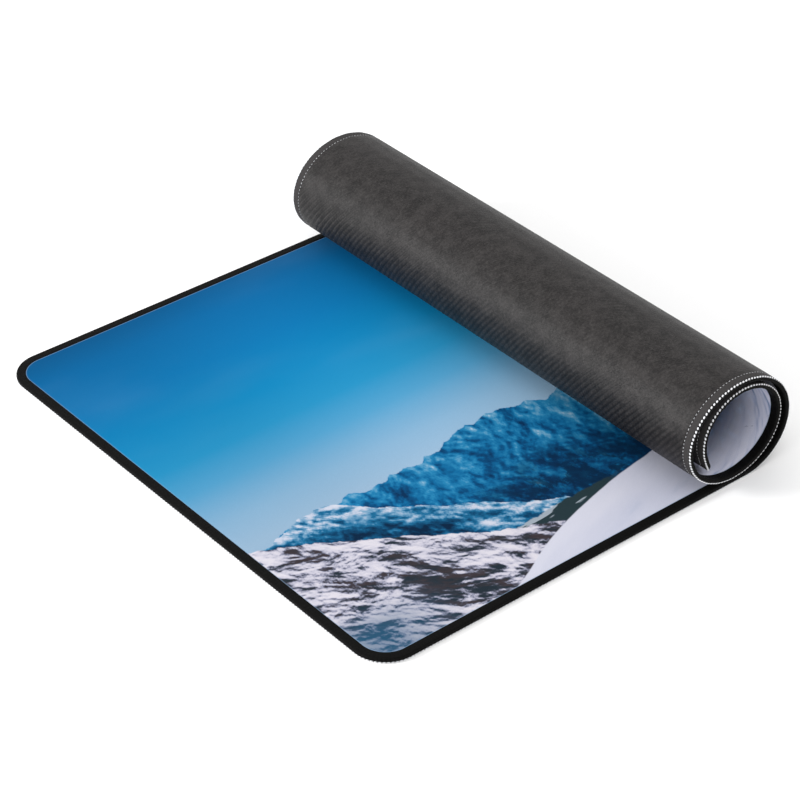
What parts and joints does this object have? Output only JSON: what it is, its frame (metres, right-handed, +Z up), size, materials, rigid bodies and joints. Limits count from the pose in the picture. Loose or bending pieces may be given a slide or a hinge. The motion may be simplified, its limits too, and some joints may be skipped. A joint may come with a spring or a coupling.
{
  "type": "desk mat",
  "caption": "Rubber-backed cloth desk mat with a sewn black edge and a printed mountain scene, lying half unrolled; the rolled half unrolls flat.",
  "frame": {"origin": "middle of the flat half's underside, on the desk", "axes": "+X along the mat towards the roll, +Y along the roll (the mat's width), +Z up from the desk"},
  "size_m": [0.3364, 0.4, 0.0774],
  "materials": {
    "rubber_base": "matte, fine fabric-like grain",
    "printed_cloth": "smooth printed polyester, mountain scene in blue and white",
    "edge_binding": "black overlock thread",
    "white_thread": "white sewing thread",
    "rolled_mat": "rubber base with its printed cloth and sewn edge bonded on"
  },
  "bodies": {
    "root": {"rubber_base": "rubber_base", "printed_cloth": "printed_cloth", "edge_binding": "edge_binding", "edge_thread": "white_thread", "needle_thread": "white_thread"},
    "roll_strip_01": {"roll_strip_01": "rolled_mat"},
    "roll_strip_02": {"roll_strip_02": "rolled_mat"},
    "roll_strip_03": {"roll_strip_03": "rolled_mat"},
    "roll_strip_04": {"roll_strip_04": "rolled_mat"},
    "roll_strip_05": {"roll_strip_05": "rolled_mat"},
    "roll_strip_06": {"roll_strip_06": "rolled_mat"},
    "roll_strip_07": {"roll_strip_07": "rolled_mat"},
    "roll_strip_08": {"roll_strip_08": "rolled_mat"},
    "roll_strip_09": {"roll_strip_09": "rolled_mat"},
    "roll_strip_10": {"roll_strip_10": "rolled_mat"},
    "roll_strip_11": {"roll_strip_11": "rolled_mat"},
    "roll_strip_12": {"roll_strip_12": "rolled_mat"},
    "roll_strip_13": {"roll_strip_13": "rolled_mat"},
    "roll_strip_14": {"roll_strip_14": "rolled_mat"},
    "roll_strip_15": {"roll_strip_15": "rolled_mat"},
    "roll_strip_16": {"roll_strip_16": "rolled_mat"},
    "roll_strip_17": {"roll_strip_17": "rolled_mat"},
    "roll_strip_18": {"roll_strip_18": "rolled_mat"},
    "roll_strip_19": {"roll_strip_19": "rolled_mat"},
    "roll_strip_20": {"roll_strip_20": "rolled_mat"},
    "roll_strip_21": {"roll_strip_21": "rolled_mat"},
    "roll_strip_22": {"roll_strip_22": "rolled_mat"},
    "roll_strip_23": {"roll_strip_23": "rolled_mat"},
    "roll_strip_24": {"roll_strip_24": "rolled_mat"},
    "roll_strip_25": {"roll_strip_25": "rolled_mat"},
    "roll_strip_26": {"roll_strip_26": "rolled_mat"},
    "roll_strip_27": {"roll_strip_27": "rolled_mat"},
    "roll_strip_28": {"roll_strip_28": "rolled_mat"},
    "roll_strip_29": {"roll_strip_29": "rolled_mat"},
    "roll_strip_30": {"roll_strip_30": "rolled_mat"},
    "roll_strip_31": {"roll_strip_31": "rolled_mat"},
    "roll_strip_32": {"roll_strip_32": "rolled_mat"},
    "roll_strip_33": {"roll_strip_33": "rolled_mat"},
    "roll_strip_34": {"roll_strip_34": "rolled_mat"},
    "roll_strip_35": {"roll_strip_35": "rolled_mat"},
    "roll_strip_36": {"roll_strip_36": "rolled_mat"},
    "roll_strip_37": {"roll_strip_37": "rolled_mat"},
    "roll_strip_38": {"roll_strip_38": "rolled_mat"},
    "roll_strip_39": {"roll_strip_39": "rolled_mat"},
    "roll_strip_40": {"roll_strip_40": "rolled_mat"},
    "roll_strip_41": {"roll_strip_41": "rolled_mat"},
    "roll_strip_42": {"roll_strip_42": "rolled_mat"},
    "roll_strip_43": {"roll_strip_43": "rolled_mat"},
    "roll_strip_44": {"roll_strip_44": "rolled_mat"},
    "roll_strip_45": {"roll_strip_45": "rolled_mat"},
    "roll_strip_46": {"roll_strip_46": "rolled_mat"},
    "roll_strip_47": {"roll_strip_47": "rolled_mat"},
    "roll_strip_48": {"roll_strip_48": "rolled_mat"}
  },
  "joints": [
    {"name": "unroll_01", "type": "hinge", "parent": "root", "child": "roll_strip_01", "pos_m": [0.15243, 0, 0.00005], "axis": [0, 1, 0], "range_deg": [0, 7.14]},
    {"name": "unroll_02", "type": "hinge", "parent": "roll_strip_01", "child": "roll_strip_02", "pos_m": [0.15961, 0, 0.0011], "axis": [0, 1, 0], "range_deg": [0, 14.27]},
    {"name": "unroll_03", "type": "hinge", "parent": "roll_strip_02", "child": "roll_strip_03", "pos_m": [0.16835, 0, 0.00451], "axis": [0, 1, 0], "range_deg": [0, 14.27]},
    {"name": "unroll_04", "type": "hinge", "parent": "roll_strip_03", "child": "roll_strip_04", "pos_m": [0.17561, 0, 0.00972], "axis": [0, 1, 0], "range_deg": [0, 14.27]},
    {"name": "unroll_05", "type": "hinge", "parent": "roll_strip_04", "child": "roll_strip_05", "pos_m": [0.18111, 0, 0.01625], "axis": [0, 1, 0], "range_deg": [0, 14.27]},
    {"name": "unroll_06", "type": "hinge", "parent": "roll_strip_05", "child": "roll_strip_06", "pos_m": [0.18474, 0, 0.02376], "axis": [0, 1, 0], "range_deg": [0, 14.27]},
    {"name": "unroll_07", "type": "hinge", "parent": "roll_strip_06", "child": "roll_strip_07", "pos_m": [0.18642, 0, 0.03204], "axis": [0, 1, 0], "range_deg": [0, 14.27]},
    {"name": "unroll_08", "type": "hinge", "parent": "roll_strip_07", "child": "roll_strip_08", "pos_m": [0.18598, 0, 0.04097], "axis": [0, 1, 0], "range_deg": [0, 14.27]},
    {"name": "unroll_09", "type": "hinge", "parent": "roll_strip_08", "child": "roll_strip_09", "pos_m": [0.18312, 0, 0.05024], "axis": [0, 1, 0], "range_deg": [0, 14.27]},
    {"name": "unroll_10", "type": "hinge", "parent": "roll_strip_09", "child": "roll_strip_10", "pos_m": [0.17757, 0, 0.05932], "axis": [0, 1, 0], "range_deg": [0, 14.27]},
    {"name": "unroll_11", "type": "hinge", "parent": "roll_strip_10", "child": "roll_strip_11", "pos_m": [0.16931, 0, 0.06739], "axis": [0, 1, 0], "range_deg": [0, 14.27]},
    {"name": "unroll_12", "type": "hinge", "parent": "roll_strip_11", "child": "roll_strip_12", "pos_m": [0.15874, 0, 0.07353], "axis": [0, 1, 0], "range_deg": [0, 14.27]},
    {"name": "unroll_13", "type": "hinge", "parent": "roll_strip_12", "child": "roll_strip_13", "pos_m": [0.1467, 0, 0.07695], "axis": [0, 1, 0], "range_deg": [0, 14.27]},
    {"name": "unroll_14", "type": "hinge", "parent": "roll_strip_13", "child": "roll_strip_14", "pos_m": [0.13435, 0, 0.07731], "axis": [0, 1, 0], "range_deg": [0, 14.27]},
    {"name": "unroll_15", "type": "hinge", "parent": "roll_strip_14", "child": "roll_strip_15", "pos_m": [0.12287, 0, 0.07475], "axis": [0, 1, 0], "range_deg": [0, 14.27]},
    {"name": "unroll_16", "type": "hinge", "parent": "roll_strip_15", "child": "roll_strip_16", "pos_m": [0.1132, 0, 0.06986], "axis": [0, 1, 0], "range_deg": [0, 14.27]},
    {"name": "unroll_17", "type": "hinge", "parent": "roll_strip_16", "child": "roll_strip_17", "pos_m": [0.10582, 0, 0.06343], "axis": [0, 1, 0], "range_deg": [0, 14.27]},
    {"name": "unroll_18", "type": "hinge", "parent": "roll_strip_17", "child": "roll_strip_18", "pos_m": [0.1008, 0, 0.05615], "axis": [0, 1, 0], "range_deg": [0, 14.27]},
    {"name": "unroll_19", "type": "hinge", "parent": "roll_strip_18", "child": "roll_strip_19", "pos_m": [0.09795, 0, 0.04848], "axis": [0, 1, 0], "range_deg": [0, 14.27]},
    {"name": "unroll_20", "type": "hinge", "parent": "roll_strip_19", "child": "roll_strip_20", "pos_m": [0.09713, 0, 0.04059], "axis": [0, 1, 0], "range_deg": [0, 14.27]},
    {"name": "unroll_21", "type": "hinge", "parent": "roll_strip_20", "child": "roll_strip_21", "pos_m": [0.09831, 0, 0.03253], "axis": [0, 1, 0], "range_deg": [0, 14.27]},
    {"name": "unroll_22", "type": "hinge", "parent": "roll_strip_21", "child": "roll_strip_22", "pos_m": [0.10167, 0, 0.02447], "axis": [0, 1, 0], "range_deg": [0, 14.27]},
    {"name": "unroll_23", "type": "hinge", "parent": "roll_strip_22", "child": "roll_strip_23", "pos_m": [0.1074, 0, 0.01685], "axis": [0, 1, 0], "range_deg": [0, 14.27]},
    {"name": "unroll_24", "type": "hinge", "parent": "roll_strip_23", "child": "roll_strip_24", "pos_m": [0.11546, 0, 0.01036], "axis": [0, 1, 0], "range_deg": [0, 14.27]},
    {"name": "unroll_25", "type": "hinge", "parent": "roll_strip_24", "child": "roll_strip_25", "pos_m": [0.12545, 0, 0.00579], "axis": [0, 1, 0], "range_deg": [0, 14.27]},
    {"name": "unroll_26", "type": "hinge", "parent": "roll_strip_25", "child": "roll_strip_26", "pos_m": [0.13653, 0, 0.00377], "axis": [0, 1, 0], "range_deg": [0, 14.27]},
    {"name": "unroll_27", "type": "hinge", "parent": "roll_strip_26", "child": "roll_strip_27", "pos_m": [0.14765, 0, 0.00452], "axis": [0, 1, 0], "range_deg": [0, 14.27]},
    {"name": "unroll_28", "type": "hinge", "parent": "roll_strip_27", "child": "roll_strip_28", "pos_m": [0.15774, 0, 0.00782], "axis": [0, 1, 0], "range_deg": [0, 14.27]},
    {"name": "unroll_29", "type": "hinge", "parent": "roll_strip_28", "child": "roll_strip_29", "pos_m": [0.16604, 0, 0.01307], "axis": [0, 1, 0], "range_deg": [0, 14.27]},
    {"name": "unroll_30", "type": "hinge", "parent": "roll_strip_29", "child": "roll_strip_30", "pos_m": [0.17218, 0, 0.01957], "axis": [0, 1, 0], "range_deg": [0, 14.27]},
    {"name": "unroll_31", "type": "hinge", "parent": "roll_strip_30", "child": "roll_strip_31", "pos_m": [0.17615, 0, 0.0267], "axis": [0, 1, 0], "range_deg": [0, 14.27]},
    {"name": "unroll_32", "type": "hinge", "parent": "roll_strip_31", "child": "roll_strip_32", "pos_m": [0.1781, 0, 0.03408], "axis": [0, 1, 0], "range_deg": [0, 14.27]},
    {"name": "unroll_33", "type": "hinge", "parent": "roll_strip_32", "child": "roll_strip_33", "pos_m": [0.17816, 0, 0.04155], "axis": [0, 1, 0], "range_deg": [0, 14.27]},
    {"name": "unroll_34", "type": "hinge", "parent": "roll_strip_33", "child": "roll_strip_34", "pos_m": [0.17633, 0, 0.04899], "axis": [0, 1, 0], "range_deg": [0, 14.27]},
    {"name": "unroll_35", "type": "hinge", "parent": "roll_strip_34", "child": "roll_strip_35", "pos_m": [0.1725, 0, 0.05614], "axis": [0, 1, 0], "range_deg": [0, 14.27]},
    {"name": "unroll_36", "type": "hinge", "parent": "roll_strip_35", "child": "roll_strip_36", "pos_m": [0.16665, 0, 0.06254], "axis": [0, 1, 0], "range_deg": [0, 14.27]},
    {"name": "unroll_37", "type": "hinge", "parent": "roll_strip_36", "child": "roll_strip_37", "pos_m": [0.159, 0, 0.06757], "axis": [0, 1, 0], "range_deg": [0, 14.27]},
    {"name": "unroll_38", "type": "hinge", "parent": "roll_strip_37", "child": "roll_strip_38", "pos_m": [0.15007, 0, 0.07066], "axis": [0, 1, 0], "range_deg": [0, 14.27]},
    {"name": "unroll_39", "type": "hinge", "parent": "roll_strip_38", "child": "roll_strip_39", "pos_m": [0.1407, 0, 0.07146], "axis": [0, 1, 0], "range_deg": [0, 14.27]},
    {"name": "unroll_40", "type": "hinge", "parent": "roll_strip_39", "child": "roll_strip_40", "pos_m": [0.13175, 0, 0.06999], "axis": [0, 1, 0], "range_deg": [0, 14.27]},
    {"name": "unroll_41", "type": "hinge", "parent": "roll_strip_40", "child": "roll_strip_41", "pos_m": [0.12397, 0, 0.06659], "axis": [0, 1, 0], "range_deg": [0, 14.27]},
    {"name": "unroll_42", "type": "hinge", "parent": "roll_strip_41", "child": "roll_strip_42", "pos_m": [0.11776, 0, 0.06176], "axis": [0, 1, 0], "range_deg": [0, 14.27]},
    {"name": "unroll_43", "type": "hinge", "parent": "roll_strip_42", "child": "roll_strip_43", "pos_m": [0.11325, 0, 0.05594], "axis": [0, 1, 0], "range_deg": [0, 14.27]},
    {"name": "unroll_44", "type": "hinge", "parent": "roll_strip_43", "child": "roll_strip_44", "pos_m": [0.11039, 0, 0.04936], "axis": [0, 1, 0], "range_deg": [0, 14.27]},
    {"name": "unroll_45", "type": "hinge", "parent": "roll_strip_44", "child": "roll_strip_45", "pos_m": [0.10921, 0, 0.04207], "axis": [0, 1, 0], "range_deg": [0, 14.27]},
    {"name": "unroll_46", "type": "hinge", "parent": "roll_strip_45", "child": "roll_strip_46", "pos_m": [0.10994, 0, 0.03405], "axis": [0, 1, 0], "range_deg": [0, 14.27]},
    {"name": "unroll_47", "type": "hinge", "parent": "roll_strip_46", "child": "roll_strip_47", "pos_m": [0.11296, 0, 0.0255], "axis": [0, 1, 0], "range_deg": [0, 14.27]},
    {"name": "unroll_48", "type": "hinge", "parent": "roll_strip_47", "child": "roll_strip_48", "pos_m": [0.11867, 0, 0.01696], "axis": [0, 1, 0], "range_deg": [0, 14.27]}
  ],
  "couplings": [
    {"joint": "unroll_02", "follows": "unroll_01", "ratio": 2},
    {"joint": "unroll_03", "follows": "unroll_01", "ratio": 2},
    {"joint": "unroll_04", "follows": "unroll_01", "ratio": 2},
    {"joint": "unroll_05", "follows": "unroll_01", "ratio": 2},
    {"joint": "unroll_06", "follows": "unroll_01", "ratio": 2},
    {"joint": "unroll_07", "follows": "unroll_01", "ratio": 2},
    {"joint": "unroll_08", "follows": "unroll_01", "ratio": 2},
    {"joint": "unroll_09", "follows": "unroll_01", "ratio": 2},
    {"joint": "unroll_10", "follows": "unroll_01", "ratio": 2},
    {"joint": "unroll_11", "follows": "unroll_01", "ratio": 2},
    {"joint": "unroll_12", "follows": "unroll_01", "ratio": 2},
    {"joint": "unroll_13", "follows": "unroll_01", "ratio": 2},
    {"joint": "unroll_14", "follows": "unroll_01", "ratio": 2},
    {"joint": "unroll_15", "follows": "unroll_01", "ratio": 2},
    {"joint": "unroll_16", "follows": "unroll_01", "ratio": 2},
    {"joint": "unroll_17", "follows": "unroll_01", "ratio": 2},
    {"joint": "unroll_18", "follows": "unroll_01", "ratio": 2},
    {"joint": "unroll_19", "follows": "unroll_01", "ratio": 2},
    {"joint": "unroll_20", "follows": "unroll_01", "ratio": 2},
    {"joint": "unroll_21", "follows": "unroll_01", "ratio": 2},
    {"joint": "unroll_22", "follows": "unroll_01", "ratio": 2},
    {"joint": "unroll_23", "follows": "unroll_01", "ratio": 2},
    {"joint": "unroll_24", "follows": "unroll_01", "ratio": 2},
    {"joint": "unroll_25", "follows": "unroll_01", "ratio": 2},
    {"joint": "unroll_26", "follows": "unroll_01", "ratio": 2},
    {"joint": "unroll_27", "follows": "unroll_01", "ratio": 2},
    {"joint": "unroll_28", "follows": "unroll_01", "ratio": 2},
    {"joint": "unroll_29", "follows": "unroll_01", "ratio": 2},
    {"joint": "unroll_30", "follows": "unroll_01", "ratio": 2},
    {"joint": "unroll_31", "follows": "unroll_01", "ratio": 2},
    {"joint": "unroll_32", "follows": "unroll_01", "ratio": 2},
    {"joint": "unroll_33", "follows": "unroll_01", "ratio": 2},
    {"joint": "unroll_34", "follows": "unroll_01", "ratio": 2},
    {"joint": "unroll_35", "follows": "unroll_01", "ratio": 2},
    {"joint": "unroll_36", "follows": "unroll_01", "ratio": 2},
    {"joint": "unroll_37", "follows": "unroll_01", "ratio": 2},
    {"joint": "unroll_38", "follows": "unroll_01", "ratio": 2},
    {"joint": "unroll_39", "follows": "unroll_01", "ratio": 2},
    {"joint": "unroll_40", "follows": "unroll_01", "ratio": 2},
    {"joint": "unroll_41", "follows": "unroll_01", "ratio": 2},
    {"joint": "unroll_42", "follows": "unroll_01", "ratio": 2},
    {"joint": "unroll_43", "follows": "unroll_01", "ratio": 2},
    {"joint": "unroll_44", "follows": "unroll_01", "ratio": 2},
    {"joint": "unroll_45", "follows": "unroll_01", "ratio": 2},
    {"joint": "unroll_46", "follows": "unroll_01", "ratio": 2},
    {"joint": "unroll_47", "follows": "unroll_01", "ratio": 2},
    {"joint": "unroll_48", "follows": "unroll_01", "ratio": 2}
  ]
}
